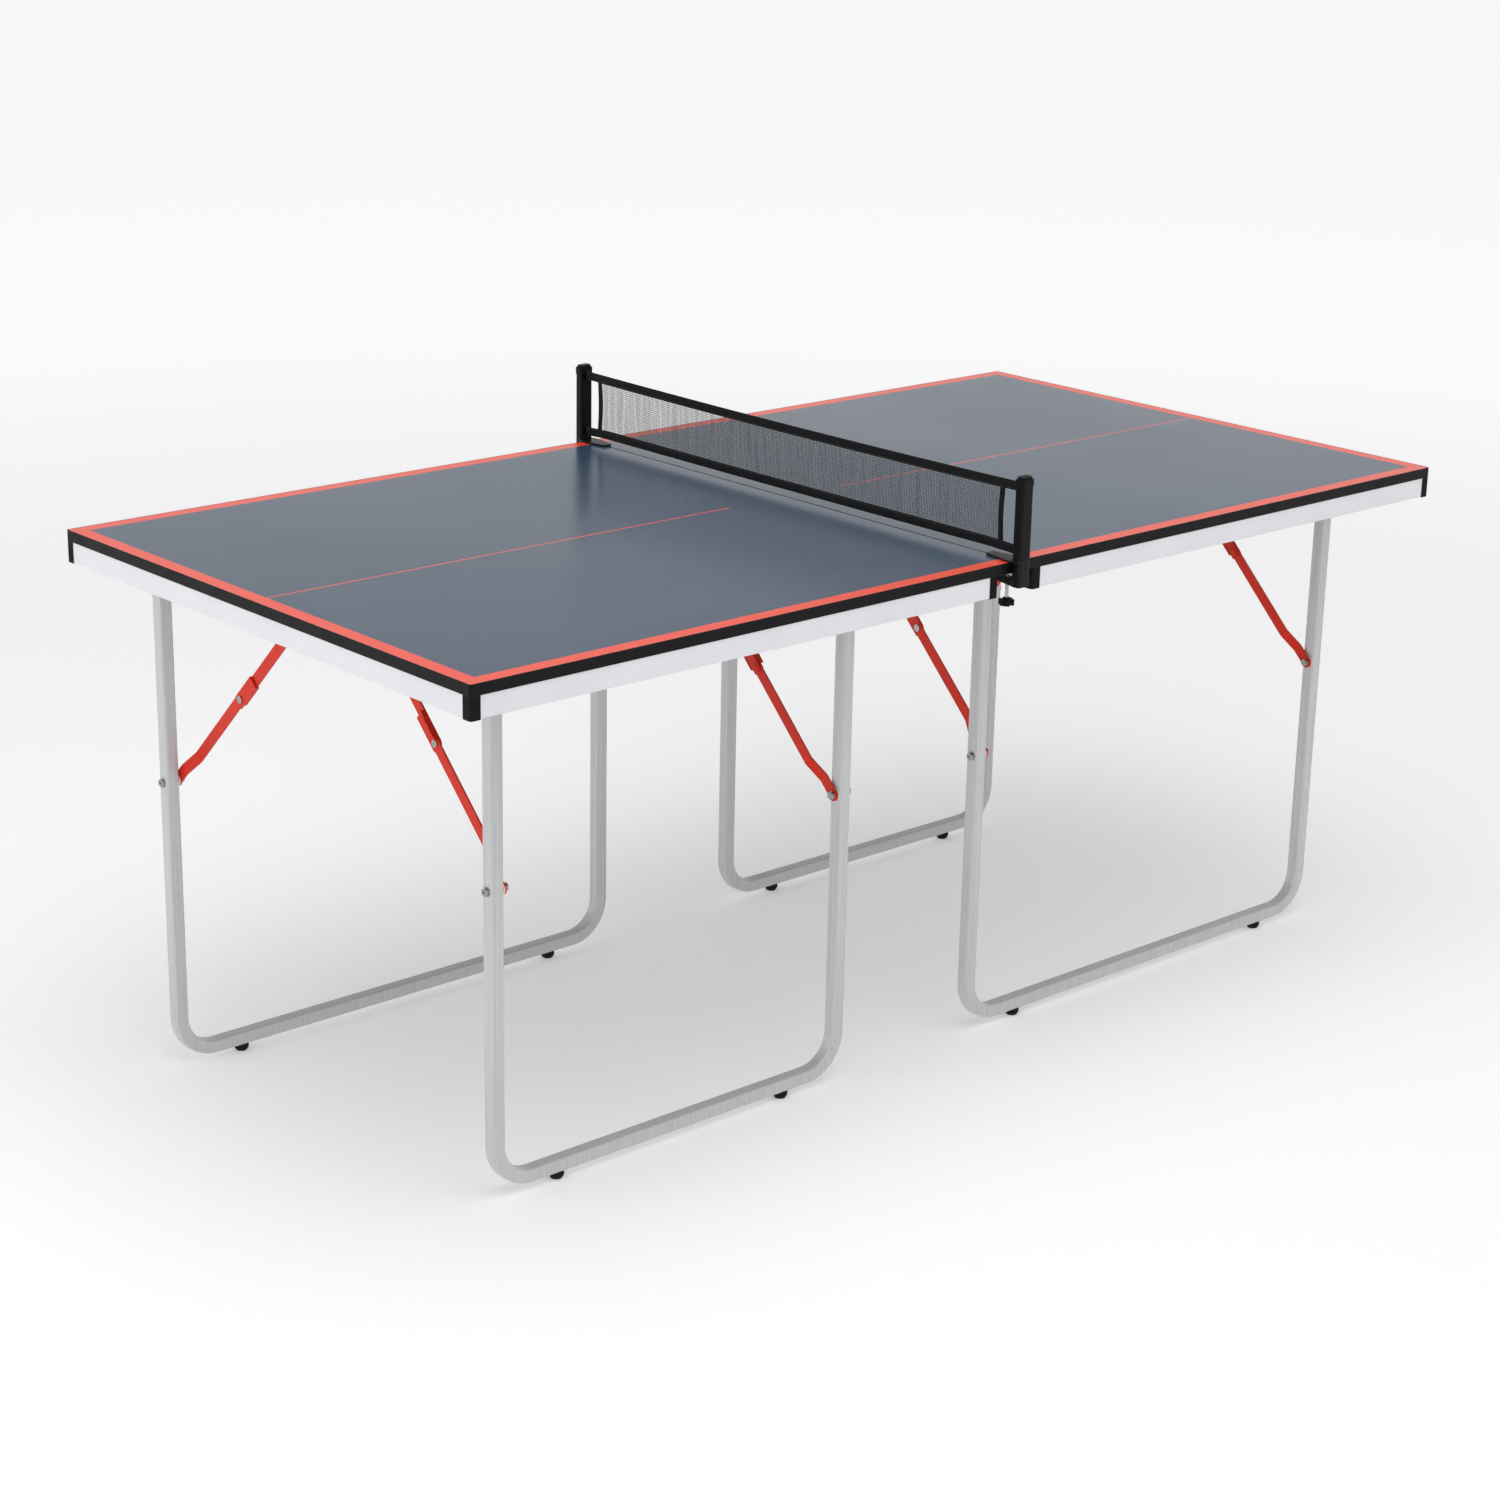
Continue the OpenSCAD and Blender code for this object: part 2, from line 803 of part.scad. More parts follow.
top_board();  // top_board_left
edge_band();  // edge_band_left
side_rails();  // side_rails_left
end_rail();  // end_rail_left
net_rail();  // net_rail_left
corner_caps();  // corner_caps_left
hinge_brackets();  // hinge_brackets_left
brace_brackets();  // brace_brackets_left
pivot_pins();  // pivot_pins_left
leg_frame(narrow_near, narrow_far);  // narrow_leg_frame_left
feet(narrow_near, narrow_far);  // narrow_feet_left
brace_bolts(narrow_near, narrow_far);  // narrow_brace_bolts_left
spacers(narrow_near, narrow_far);  // narrow_spacers_left
upper_links(narrow_near, narrow_far);  // narrow_upper_links_left
lower_links(narrow_near, narrow_far, true);  // narrow_lower_links_left
knuckle_rivets(narrow_near, narrow_far);  // narrow_knuckle_rivets_left
far_side() leg_frame(wide_near, wide_far);  // wide_leg_frame_left
far_side() feet(wide_near, wide_far);  // wide_feet_left
far_side() brace_bolts(wide_near, wide_far);  // wide_brace_bolts_left
far_side() spacers(wide_near, wide_far);  // wide_spacers_left
far_side() upper_links(wide_near, wide_far);  // wide_upper_links_left
far_side() lower_links(wide_near, wide_far, false);  // wide_lower_links_left
far_side() knuckle_rivets(wide_near, wide_far);  // wide_knuckle_rivets_left
to_right() top_board();  // top_board_right
to_right() edge_band();  // edge_band_right
to_right() side_rails();  // side_rails_right
to_right() end_rail();  // end_rail_right
to_right() net_rail();  // net_rail_right
to_right() corner_caps();  // corner_caps_right
to_right() hinge_brackets();  // hinge_brackets_right
to_right() brace_brackets();  // brace_brackets_right
to_right() pivot_pins();  // pivot_pins_right
to_right() leg_frame(narrow_near, narrow_far);  // narrow_leg_frame_right
to_right() feet(narrow_near, narrow_far);  // narrow_feet_right
to_right() brace_bolts(narrow_near, narrow_far);  // narrow_brace_bolts_right
to_right() spacers(narrow_near, narrow_far);  // narrow_spacers_right
to_right() upper_links(narrow_near, narrow_far);  // narrow_upper_links_right
to_right() lower_links(narrow_near, narrow_far, true);  // narrow_lower_links_right
to_right() knuckle_rivets(narrow_near, narrow_far);  // narrow_knuckle_rivets_right
to_right() far_side() leg_frame(wide_near, wide_far);  // wide_leg_frame_right
to_right() far_side() feet(wide_near, wide_far);  // wide_feet_right
to_right() far_side() brace_bolts(wide_near, wide_far);  // wide_brace_bolts_right
to_right() far_side() spacers(wide_near, wide_far);  // wide_spacers_right
to_right() far_side() upper_links(wide_near, wide_far);  // wide_upper_links_right
to_right() far_side() lower_links(wide_near, wide_far, false);  // wide_lower_links_right
to_right() far_side() knuckle_rivets(wide_near, wide_far);  // wide_knuckle_rivets_right
clamp_bracket();  // near_clamp_bracket
net_post();  // near_post
post_cap();  // near_post_cap
far_side() clamp_bracket();  // far_clamp_bracket
far_side() net_post();  // far_post
far_side() post_cap();  // far_post_cap
net_tapes();
net_mesh();
clamp_screw();  // near_clamp_screw
clamp_knob();  // near_clamp_knob
clamp_pad();  // near_clamp_pad
far_side() clamp_screw();  // far_clamp_screw
far_side() clamp_knob();  // far_clamp_knob
far_side() clamp_pad();  // far_clamp_pad
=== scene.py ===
import json
import math

import bmesh
import bpy
from mathutils import Matrix, Vector, noise


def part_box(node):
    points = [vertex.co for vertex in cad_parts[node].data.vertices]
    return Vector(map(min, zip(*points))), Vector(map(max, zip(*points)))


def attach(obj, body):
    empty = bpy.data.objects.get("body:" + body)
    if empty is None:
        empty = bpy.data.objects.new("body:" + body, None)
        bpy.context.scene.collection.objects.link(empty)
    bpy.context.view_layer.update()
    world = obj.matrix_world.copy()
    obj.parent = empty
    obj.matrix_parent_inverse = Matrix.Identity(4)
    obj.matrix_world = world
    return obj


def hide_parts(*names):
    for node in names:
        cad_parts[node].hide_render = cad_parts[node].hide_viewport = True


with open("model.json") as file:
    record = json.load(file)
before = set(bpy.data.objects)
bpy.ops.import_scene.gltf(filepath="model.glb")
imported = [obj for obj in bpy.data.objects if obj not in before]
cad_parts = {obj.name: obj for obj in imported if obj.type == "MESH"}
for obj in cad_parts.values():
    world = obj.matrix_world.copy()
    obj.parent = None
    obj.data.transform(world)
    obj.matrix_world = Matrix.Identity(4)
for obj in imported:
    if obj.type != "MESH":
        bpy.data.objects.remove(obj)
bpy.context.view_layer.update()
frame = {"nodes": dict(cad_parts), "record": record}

MM = 0.001
ACROSS_THE_NET = Vector((1, 0, 0))


def rgb(red, green, blue):
    """A display colour, 0 to 255, as the linear colour a shader takes."""
    shares = (red / 255, green / 255, blue / 255)
    return tuple(((c + 0.055) / 1.055) ** 2.4 if c > 10 / 255 else c / 12.92 for c in shares) + (1.0,)


def grey(level):
    """A linear grey, which may be brighter than 1 where it is light and not paint."""
    return (level, level, level, 1.0)


# ---------- sizes ----------

# One half table runs from the net to -HALF_LENGTH along X, and to +-HALF_WIDTH along Y.
BAND_LOW, BAND_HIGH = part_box("edge_band_left")
HALF_LENGTH = -BAND_LOW.x
HALF_WIDTH = BAND_HIGH.y

# Court lines printed on the board.
BORDER_WIDTH = 23 * MM
CENTRE_LINE_WIDTH = 3 * MM
CENTRE_LINE_START = 110 * MM      # bare board between the net and the line's end
PRINT_BLUR = 0.15 * MM

# The net set, from the CAD nodes that it stands for.
TAPE_LOW, TAPE_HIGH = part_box("net_tapes")
MESH_LOW, MESH_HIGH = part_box("net_mesh")
NET_BOTTOM = TAPE_LOW.z
NET_TOP = TAPE_HIGH.z
NET_SPAN = NET_TOP - NET_BOTTOM
NET_REACH = -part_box("near_post")[1].y
TAPE_WIDTH = MESH_LOW.z - TAPE_LOW.z
TAPE_THICKNESS = TAPE_HIGH.x - TAPE_LOW.x
SIDE_TAPE = MESH_HIGH.y + TAPE_WIDTH / 2

# Netting, and how it hangs.
NETTING_INSET = TAPE_WIDTH * 0.6  # its edge lies inside the long tapes
STRING_PITCH = 2.8 * MM
STRING_HALF = 0.25 * MM
COLUMN_STEPS = 8
ROW_STEPS = 170
COLUMN_LEAN = 0.5 * MM
COLUMN_STRAY = 0.9 * MM
SAG_LOWER_EDGE = 0.8 * MM
SAG_ADDED_ABOVE = 2.6 * MM

# Waves of the cloth: so many to the metre along the net, and how far they swing.
FINE_WAVES, FINE_SWING = 80, 1.4 * MM
BROAD_WAVES, BROAD_SWING = 30, 1.2 * MM
DRIFT_WAVES, DRIFT_SWING = 4, 0.72 * MM

# Tapes and their seams.
TAPE_STEPS = 150
TAPE_END_GAP = 0.6 * MM
TAPE_CALM_END = 0.05              # the tapes run straight into the posts over this length
TAPE_SIDES = 20
TAPE_EDGE_ROUNDING = 0.55         # 1 would be a plain oval, 0 a box
TAPE_FACE_ROUNDING = 0.9
TAPE_CROWN = 0.35
TAPE_PUCKER = 0.12 * MM
LOWER_TAPE_DROP = 2.2 * MM
LOWER_TAPE_DROP_FROM = 0.40
LOWER_TAPE_DROP_CURVE = 1.5
SIDE_TAPE_WIDTH = TAPE_WIDTH * 0.72
SIDE_TAPE_THICKNESS = TAPE_THICKNESS * 0.8
SIDE_TAPE_STEPS = 24
SIDE_TAPE_BOW = 2.5 * MM
SIDE_TAPE_CALM = 0.3
STITCH_PITCH = 3.2 * MM
STITCH_LENGTH = 2.2 * MM
STITCH_BULGE = 0.15 * MM
THREAD_HALF = 0.16 * MM
THREAD_PROUD = 0.12 * MM
SEAM_INSET = TAPE_WIDTH * 0.36

# ---------- colours ----------

LACQUER_DEEP, LACQUER_LIGHT = rgb(52, 72, 94), rgb(54, 74, 96)
CORAL_DEEP, CORAL_LIGHT = rgb(238, 72, 46), rgb(241, 77, 50)
BACKING_DARK, BACKING_LIGHT = rgb(78, 80, 84), rgb(88, 90, 93)
BARE_STEEL = rgb(196, 197, 199)
# The third tube grey is a painted highlight for the tube's edges; the first two are the tone of its drawn
# ridges.
TUBE_DARK, TUBE_LIGHT, TUBE_EDGE_HIGHLIGHT = rgb(190, 191, 193), rgb(200, 201, 203), rgb(220, 221, 223)
ZINC_DARK, ZINC_LIGHT, ZINC_YELLOW = rgb(148, 150, 154), rgb(178, 179, 181), rgb(160, 157, 140)
# The first two weave colours are a painted shade, for the weave's valleys and its ribs.
WEAVE_DARK, WEAVE_LIGHT, WEAVE_DUST = rgb(9, 9, 10), rgb(20, 20, 22), rgb(60, 60, 64)
STRING_DARK, STRING_LIGHT, STRING_DUST = rgb(46, 46, 50), rgb(78, 78, 84), rgb(84, 84, 88)
PAPER_DARK, PAPER_LIGHT = rgb(236, 236, 237), rgb(239, 239, 240)
# The paper's glow is painted light, weaker near the table and stronger far out.
PAPER_GLOW_NEAR, PAPER_GLOW_FAR = grey(0.26), grey(0.50)
AIR_LOW, AIR_HIGH = grey(1.3), grey(0.45)


# ---------- node tree helpers ----------

# The colour sockets of a Mix node, which shares its socket names with the number and vector ones.
MIX_FIRST, MIX_SECOND, MIX_RESULT = 6, 7, 2


class Graph:
    """Adds nodes to a tree and joins them; a number or colour given for a socket is set on it."""

    def __init__(self, tree):
        self.tree = tree

    def node(self, kind, inputs=None, **settings):
        made = self.tree.nodes.new("ShaderNode" + kind)
        for name, value in settings.items():
            setattr(made, name, value)
        for name, value in (inputs or {}).items():
            self.feed(made.inputs[name], value)
        return made

    def feed(self, socket, value):
        if isinstance(value, bpy.types.NodeSocket):
            self.tree.links.new(value, socket)
        elif isinstance(value, bpy.types.Node):
            self.tree.links.new(value.outputs[0], socket)
        else:
            socket.default_value = value

    def math(self, operation, *values):
        return self.node("Math", dict(enumerate(values)), operation=operation).outputs[0]

    def mix(self, factor, first, second):
        made = self.node("Mix", {"Factor": factor}, data_type="RGBA")
        self.feed(made.inputs[MIX_FIRST], first)
        self.feed(made.inputs[MIX_SECOND], second)
        return made.outputs[MIX_RESULT]

    def span(self, value, low, high, to_low=0.0, to_high=1.0):
        """The value's way from low to high, eased at both ends, as a way from to_low to to_high."""
        ends = {"Value": value, "From Min": low, "From Max": high, "To Min": to_low, "To Max": to_high}
        return self.node("MapRange", ends, interpolation_type="SMOOTHSTEP").outputs[0]

    def place(self):
        return self.node("TexCoord").outputs["Object"]

    def mottle(self, scale, detail, where=None):
        """Soft random patches, so many to the metre."""
        where = self.place() if where is None else where
        return self.node("TexNoise", {"Vector": where, "Scale": scale, "Detail": detail})

    def group(self, which, **inputs):
        made = self.node("Group")
        made.node_tree = which
        for name, value in inputs.items():
            self.feed(made.inputs[name], value)
        return made


def shader_group(name, inputs, outputs):
    """A node group with float inputs {name: default} and outputs {name: socket type}."""
    tree = bpy.data.node_groups.new(name, "ShaderNodeTree")
    for socket, default in inputs.items():
        made = tree.interface.new_socket(socket, in_out="INPUT", socket_type="NodeSocketFloat")
        made.default_value = default
    for socket, kind in outputs.items():
        tree.interface.new_socket(socket, in_out="OUTPUT", socket_type="NodeSocket" + kind)
    given = tree.nodes.new("NodeGroupInput").outputs
    out = tree.nodes.new("NodeGroupOutput").inputs
    return Graph(tree), given, out, tree


def make_orange_peel():
    """Sprayed paint: a soft ripple with a fine dust on it."""
    g, given, out, tree = shader_group(
        "orange_peel", {"Ripple": 700.0, "Dust": 4000.0}, {"Height": "Float", "Cloud": "Float"})
    ripple = g.mottle(given["Ripple"], 1.5)
    dust = g.mottle(given["Dust"], 0.0)
    cloud = g.mottle(9.0, 3.0)
    dust_height = 0.25
    g.feed(out["Height"], g.math("MULTIPLY_ADD", dust, dust_height, ripple))
    g.feed(out["Cloud"], g.span(cloud, 0.3, 0.7))
    return tree


def make_edge_wear_and_highlight():
    """Where an edge turns: 1 on the edge, 0 on the flat. The Mask is broken up by the grain of rubbing; the
    plain Edge is left whole and also places the leg tube's painted edge highlight.
    """
    g, given, out, tree = shader_group(
        "edge_wear_and_highlight", {"Width": 0.8 * MM, "Grain": 300.0},
        {"Mask": "Float", "Edge": "Float", "Normal": "Vector"})
    bevel = g.node("Bevel", {"Radius": given["Width"]}, samples=4)
    normal = g.node("NewGeometry").outputs["Normal"]
    turn = g.node("VectorMath", {0: bevel, 1: normal}, operation="DOT_PRODUCT").outputs["Value"]
    edge = g.span(turn, 0.995, 0.9)
    grain = g.mottle(given["Grain"], 3.0)
    g.feed(out["Mask"], g.math("MULTIPLY", edge, g.span(grain, 0.45, 0.62)))
    # Edge: the plain edge mask; the leg tube paints its edge highlight with it.
    g.feed(out["Edge"], edge)
    g.feed(out["Normal"], bevel)
    return tree


def make_handling_marks():
    """Use: patches that hands and cloths have left a little duller."""
    g, given, out, tree = shader_group("handling_marks", {"Patch": 14.0}, {"Patches": "Float"})
    g.feed(out["Patches"], g.span(g.mottle(given["Patch"], 4.0), 0.35, 0.65))
    return tree


def make_moulded_grain():
    """The fine leathery cells of a moulding tool."""
    g, given, out, tree = shader_group("moulded_grain", {"Cells": 900.0}, {"Height": "Float"})
    cells = g.node("TexVoronoi", {"Vector": g.place(), "Scale": given["Cells"]}, feature="SMOOTH_F1")
    pitting = g.mottle(given["Cells"], 2.0)
    pitting_height = 0.5
    g.feed(out["Height"], g.math("MULTIPLY_ADD", pitting, pitting_height, cells.outputs["Distance"]))
    return tree


def make_weave():
    """Woven tape: ribs across, threads along, in the tape's own UVs (metres); its second output is a
    painted shade, dark in the weave's valleys and light on its ribs.
    """
    g, given, out, tree = shader_group("weave", {"Threads": 2200.0}, {"Height": "Float", "Rib_Light": "Float"})
    uv = g.node("TexCoord").outputs["UV"]
    split = g.node("SeparateXYZ", {"Vector": uv}).outputs
    rib = g.math("ABSOLUTE", g.math("SINE", g.math("MULTIPLY", split["X"], given["Threads"])))
    thread = g.math("ABSOLUTE", g.math("SINE", g.math("MULTIPLY", split["Y"], given["Threads"])))
    height = g.math("MULTIPLY", rib, thread)
    fuzz = g.mottle(500.0, 4.0, where=uv)
    fuzz_height = 0.3
    g.feed(out["Height"], g.math("MULTIPLY_ADD", fuzz, fuzz_height, height))
    # Painted shade: 0 in the weave's valleys, 1 on its ribs.
    g.feed(out["Rib_Light"], g.span(height, 0.0, 0.9))
    return tree


ORANGE_PEEL = make_orange_peel()
EDGE_WEAR_AND_HIGHLIGHT = make_edge_wear_and_highlight()
HANDLING_MARKS = make_handling_marks()
MOULDED_GRAIN = make_moulded_grain()
WEAVE = make_weave()


class Finish(Graph):
    """A material with one Principled shader; plain values are set on the shader's own sockets."""

    def __init__(self, name, **plain):
        self.material = bpy.data.materials.new(name)
        self.material.use_nodes = True
        super().__init__(self.material.node_tree)
        self.tree.nodes.clear()
        self.shader = self.node("BsdfPrincipled")
        surface = self.node("OutputMaterial")
        self.tree.links.new(self.shader.outputs[0], surface.inputs[0])
        for socket, value in plain.items():
            self.shader.inputs[socket.replace("_", " ")].default_value = value

    def edge_masks(self, width=0.8 * MM, grain=300.0):
        return self.group(EDGE_WEAR_AND_HIGHLIGHT, Width=width, Grain=grain).outputs

    def patches(self, size):
        return self.group(HANDLING_MARKS, Patch=size).outputs["Patches"]

    def surface(self, colour, rough=None):
        self.feed(self.shader.inputs["Base Color"], colour)
        if rough is not None:
            self.feed(self.shader.inputs["Roughness"], rough)

    def relief(self, height, depth, normal=None):
        bump = self.node("Bump", {"Height": height, "Distance": depth})
        if normal is not None:
            self.feed(bump.inputs["Normal"], normal)
        self.feed(self.shader.inputs["Normal"], bump)


# ---------- materials ----------

def board_lacquer():
    """Blue-grey lacquer with a printed coral border and centre line, sealed grey underneath."""
    m = Finish("board_lacquer", IOR=1.4)
    place = m.node("SeparateXYZ", {"Vector": m.place()}).outputs
    x = m.math("ABSOLUTE", place["X"])
    y = m.math("ABSOLUTE", place["Y"])

    def beyond(value, edge, sense=1):
        """1 past a printed edge, 0 before it; sense -1 turns it round."""
        return m.span(value, edge - sense * PRINT_BLUR, edge + sense * PRINT_BLUR)

    border = m.math("MAXIMUM", beyond(x, HALF_LENGTH - BORDER_WIDTH), beyond(y, HALF_WIDTH - BORDER_WIDTH))
    line = m.math("MULTIPLY", beyond(y, CENTRE_LINE_WIDTH / 2, sense=-1), beyond(x, CENTRE_LINE_START))
    printed = m.math("MAXIMUM", border, line)
    peel = m.group(ORANGE_PEEL, Ripple=330.0, Dust=1500.0).outputs
    lacquer = m.mix(peel["Cloud"], LACQUER_DEEP, LACQUER_LIGHT)
    coral = m.mix(peel["Cloud"], CORAL_DEEP, CORAL_LIGHT)
    backing = m.mix(peel["Cloud"], BACKING_DARK, BACKING_LIGHT)
    upward = m.node("SeparateXYZ", {"Vector": m.node("TexCoord").outputs["Normal"]}).outputs["Z"]
    print_rougher, print_proud = 0.04, 12.0
    lacquer_rough = m.span(m.patches(3.0), 0.0, 1.0, 0.25, 0.27)
    m.surface(colour=m.mix(m.span(upward, 0.3, 0.7), backing, m.mix(printed, lacquer, coral)),
              rough=m.math("MULTIPLY_ADD", printed, print_rougher, lacquer_rough))
    m.relief(m.math("MULTIPLY_ADD", printed, print_proud, peel["Height"]), 0.0004 * MM)
    return m.material


def painted_steel(name, light, dark, rough, metal_shows, shine=0.5):
    """Sprayed steel: soft ripple, rubbed edges where the paint is thin."""
    m = Finish(name, IOR=1.5, Specular_IOR_Level=shine)
    peel = m.group(ORANGE_PEEL, Ripple=420.0, Dust=4200.0).outputs
    edge_mask_set = m.edge_masks()
    body = m.mix(peel["Cloud"], dark, light)
    patch_rougher, edge_rougher = 0.08, 0.10
    m.surface(colour=m.mix(m.math("MULTIPLY", edge_mask_set["Mask"], metal_shows), body, BARE_STEEL),
              rough=m.math("MULTIPLY_ADD", m.patches(11.0), patch_rougher,
                           m.math("MULTIPLY_ADD", edge_mask_set["Mask"], edge_rougher, rough)))
    m.relief(peel["Height"], 0.006 * MM, normal=edge_mask_set["Normal"])
    return m.material


def drawn_tube():
    """Silver paint over drawn square tube, with the faint long ridges of drawing and a painted highlight
    along every edge.
    """
    m = Finish("drawn_tube", IOR=1.5, Metallic=0.15)
    peel = m.group(ORANGE_PEEL, Ripple=1000.0, Dust=5200.0).outputs
    edge_mask_set = m.edge_masks(width=1.2 * MM)
    long_ridges = m.node("Mapping", {"Vector": m.place(), "Scale": (1.0, 1.0, 0.012)})
    drawn = m.mottle(420.0, 2.0, where=long_ridges)
    body = m.mix(m.span(drawn, 0.35, 0.65), TUBE_DARK, TUBE_LIGHT)
    edge_shows, patch_rougher, peel_height = 0.35, 0.08, 0.4
    # Painted highlight: every edge of the leg tube is mixed towards a lighter grey, standing for light
    # caught on its rounded corners.
    m.surface(colour=m.mix(m.math("MULTIPLY", edge_mask_set["Edge"], edge_shows), body, TUBE_EDGE_HIGHLIGHT),
              rough=m.math("MULTIPLY_ADD", m.patches(9.0), patch_rougher,
                           m.span(drawn, 0.3, 0.7, 0.34, 0.42)))
    m.relief(m.math("MULTIPLY_ADD", peel["Height"], peel_height, drawn), 0.015 * MM, normal=edge_mask_set["Normal"])
    return m.material


def moulded_plastic(name, colour, rough, cells=900.0, depth=0.03 * MM):
    """Grained moulded plastic, polished by hands along its edges."""
    m = Finish(name, IOR=1.46, Specular_IOR_Level=0.15)
    grain = m.group(MOULDED_GRAIN, Cells=cells)
    edge_mask_set = m.edge_masks(width=0.6 * MM, grain=500.0)
    rubbed = tuple(min(1.0, c * 2.2 + 0.01) for c in colour[:3]) + (1.0,)
    edge_shows, edge_rougher, patch_rougher = 0.5, -0.12, 0.10
    m.surface(colour=m.mix(m.math("MULTIPLY", edge_mask_set["Mask"], edge_shows), colour, rubbed),
              rough=m.math("MULTIPLY_ADD", edge_mask_set["Edge"], edge_rougher,
                           m.math("MULTIPLY_ADD", m.patches(40.0), patch_rougher, rough)))
    m.relief(grain.outputs["Height"], depth, normal=edge_mask_set["Normal"])
    return m.material


def zinc_plate():
    """Bright zinc with the small crystal mottle of plating."""
    m = Finish("zinc_plate", Metallic=1.0)
    crystals = m.node("TexVoronoi", {"Vector": m.place(), "Scale": 420.0}, feature="F1").outputs["Distance"]
    cloud = m.mottle(120.0, 3.0)
    edge_mask_set = m.edge_masks(width=0.4 * MM, grain=600.0)
    tint = m.mix(m.span(crystals, 0.1, 0.8), ZINC_DARK, ZINC_LIGHT)
    yellowed = m.span(cloud, 0.4, 0.7)
    m.surface(colour=m.mix(yellowed, tint, ZINC_YELLOW),
              rough=m.span(cloud, 0.3, 0.7, 0.22, 0.38))
    m.relief(crystals, 0.01 * MM, normal=edge_mask_set["Normal"])
    return m.material


def woven_tape():
    """Black polyester tape with a rib weave and a soft nap."""
    m = Finish("woven_tape", IOR=1.45, Specular_IOR_Level=0.2, Sheen_Weight=0.06, Sheen_Roughness=0.5)
    weave = m.group(WEAVE, Threads=3600.0).outputs
    # Painted shade: the tape is darker in the weave's valleys and lighter on its ribs.
    cloth = m.mix(weave["Rib_Light"], WEAVE_DARK, WEAVE_LIGHT)
    dust = m.span(m.mottle(35.0, 5.0), 0.55, 0.8, 0.0, 0.12)
    m.surface(colour=m.mix(dust, cloth, WEAVE_DUST),
              rough=m.span(weave["Rib_Light"], 0.0, 1.0, 0.95, 0.75))
    m.relief(weave["Height"], 0.12 * MM)
    return m.material


def net_string():
    """Dark knitted polyester string."""
    m = Finish("net_string", IOR=1.45, Specular_IOR_Level=0.3, Sheen_Weight=0.15)
    twist = m.mottle(900.0, 3.0)
    shade = m.mix(m.span(twist, 0.3, 0.7), STRING_DARK, STRING_LIGHT)
    dust = m.span(m.mottle(25.0, 3.0), 0.4, 0.7, 0.0, 0.3)
    m.surface(colour=m.mix(dust, shade, STRING_DUST),
              rough=m.span(twist, 0.3, 0.7, 0.7, 0.9))
    m.relief(twist, 0.05 * MM)
    return m.material


def floor_paper():
    """Seamless studio paper that glows with a painted light, weaker near the table and brighter far out,
    and clear from below so that the underside shows.
    """
    m = Finish("floor_paper", Roughness=0.9, Emission_Strength=1.0)
    m.feed(m.shader.inputs["Alpha"], m.math("SUBTRACT", 1.0, m.node("NewGeometry").outputs["Backfacing"]))
    fibre = m.span(m.mottle(60.0, 4.0), 0.3, 0.7)
    m.surface(colour=m.mix(fibre, PAPER_DARK, PAPER_LIGHT))
    from_table = m.node("VectorMath", {0: m.place()}, operation="LENGTH").outputs["Value"]
    # Painted light: the paper glows, weaker near the table and stronger far out.
    m.feed(m.shader.inputs["Emission Color"],
           m.mix(m.span(from_table, 1.2, 6.0), PAPER_GLOW_NEAR, PAPER_GLOW_FAR))
    return m.material


TAPE_WEAVE = woven_tape()
NET_STRING = net_string()
RUBBER_BLACK = moulded_plastic("rubber_black", rgb(28, 28, 29), 0.72, cells=500.0, depth=0.05 * MM)

FINISH_OF_SLOT = {
    "board": board_lacquer(),
    "band": moulded_plastic("band_black", rgb(12, 12, 14), 0.38, cells=1400.0, depth=0.01 * MM),
    "rail": painted_steel("rail_white", rgb(225, 226, 229), rgb(221, 222, 226), 0.32, metal_shows=0.12),
    "cap": moulded_plastic("cap_black", rgb(12, 12, 13), 0.42),
    "zinc": zinc_plate(),
    "leg_paint": drawn_tube(),
    "foot_rubber": RUBBER_BLACK,
    "spacer": moulded_plastic("nylon_white", rgb(226, 224, 218), 0.38, cells=1500.0, depth=0.01 * MM),
    "brace_paint": painted_steel("brace_red", rgb(216, 42, 10), rgb(204, 36, 8), 0.34,
                                 metal_shows=0.4, shine=0.25),
    "clamp_paint": painted_steel("clamp_black", rgb(14, 14, 15), rgb(11, 11, 12), 0.36,
                                 metal_shows=0.25, shine=0.18),
    "post": moulded_plastic("post_black", rgb(11, 11, 12), 0.36, cells=1200.0, depth=0.02 * MM),
    "tape": TAPE_WEAVE,
    "mesh": NET_STRING,
    "knob": moulded_plastic("knob_black", rgb(12, 12, 13), 0.45, cells=700.0),
    "pad": RUBBER_BLACK,
}


def paint_frame():
    """Every CAD node takes the finish of its slot in the record."""
    slots = {row["node"]: row["material_slot"] for row in frame["record"]["subparts"]}
    for name, node in frame["nodes"].items():
        node.data.materials.clear()
        node.data.materials.append(FINISH_OF_SLOT[slots[name]])


# ---------- mesh helpers ----------

def piece_from(name, points, faces, finish, smooth=True, uvs=None):
    """A mesh object in the scene; uvs gives one place on the cloth for each point."""
    mesh = bpy.data.meshes.new(name)
    mesh.from_pydata(points, [], faces)
    if uvs is not None:
        layer = mesh.uv_layers.new(name="cloth")
        for loop in mesh.loops:
            layer.data[loop.index].uv = uvs[loop.vertex_index]
    mesh.materials.append(finish)
    for polygon in mesh.polygons:
        polygon.use_smooth = smooth
    mesh.update()
    piece = bpy.data.objects.new(name, mesh)
    bpy.context.scene.collection.objects.link(piece)
    return piece


def heading(path, i):
    """The way that a path runs at its point i."""
    return (path[min(i + 1, len(path) - 1)] - path[max(i - 1, 0)]).normalized()


